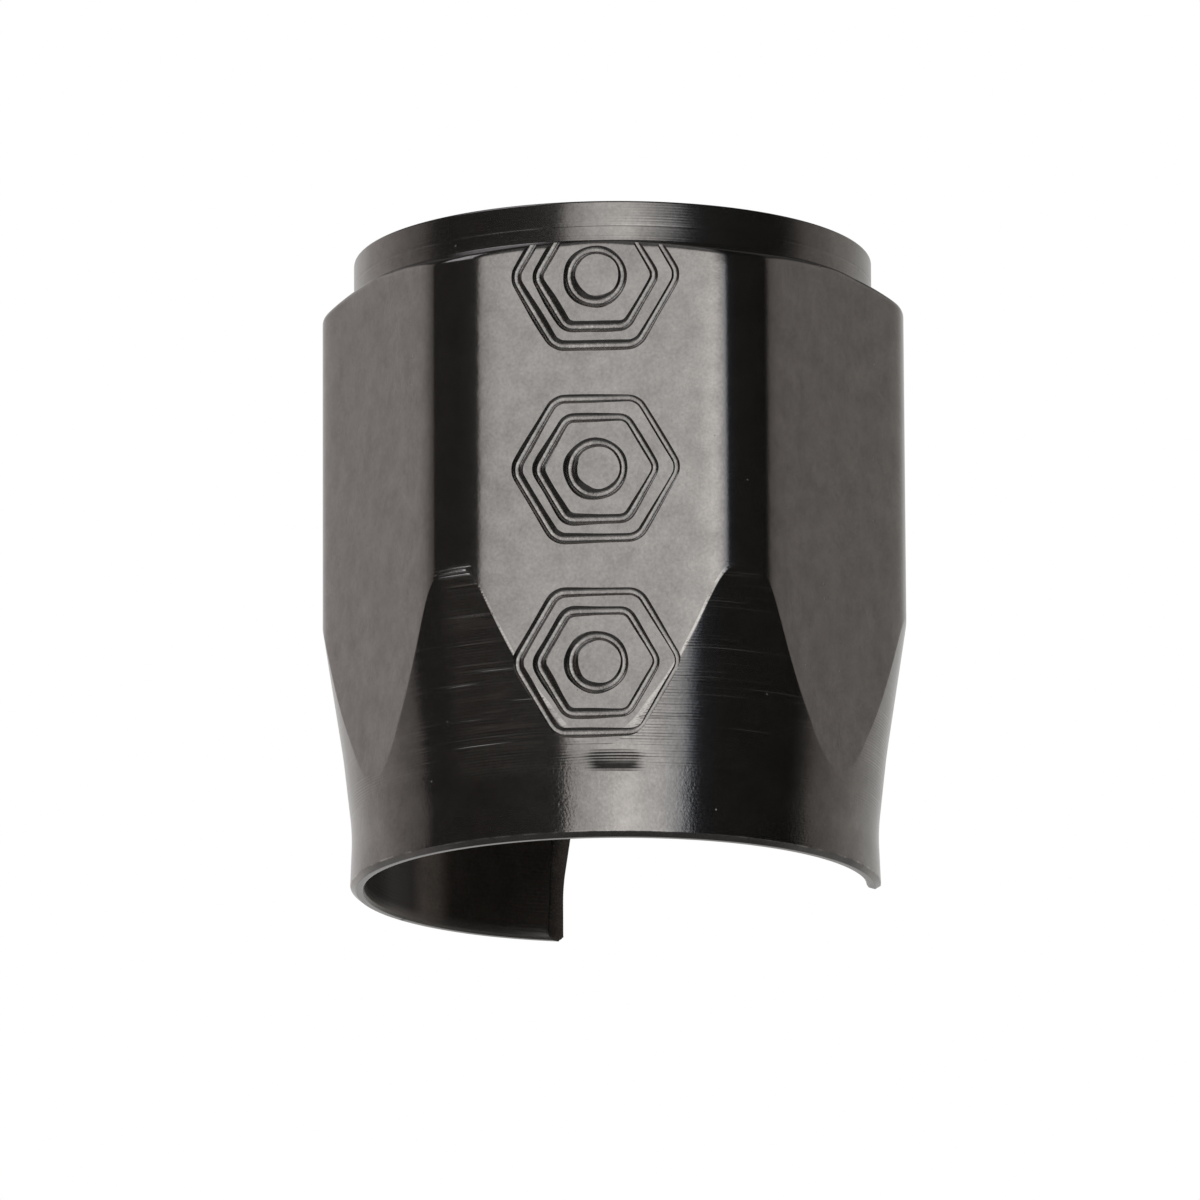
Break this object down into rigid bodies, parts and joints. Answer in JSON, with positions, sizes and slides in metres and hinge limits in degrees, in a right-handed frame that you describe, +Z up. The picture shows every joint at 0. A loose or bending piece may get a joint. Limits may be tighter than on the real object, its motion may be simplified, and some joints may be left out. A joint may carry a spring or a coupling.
{
  "type": "tube seal",
  "caption": "Black anodised hexagon sleeve with a round collar and a thin tapered skirt that has a window at its rim, slipped over a hose end to cover its clamp.",
  "frame": {"origin": "on the bore axis, in the plane of the skirt's rim", "axes": "+Z up the bore from the rim to the collar, -Y out of the flat that faces the camera, +X to that flat's right"},
  "size_m": [0.0244, 0.0222, 0.0268],
  "materials": {
    "black_anodised_aluminium": "satin black anodised over fine turning marks"
  },
  "bodies": {
    "root": {"tube_seal": "black_anodised_aluminium"}
  },
  "joints": []
}
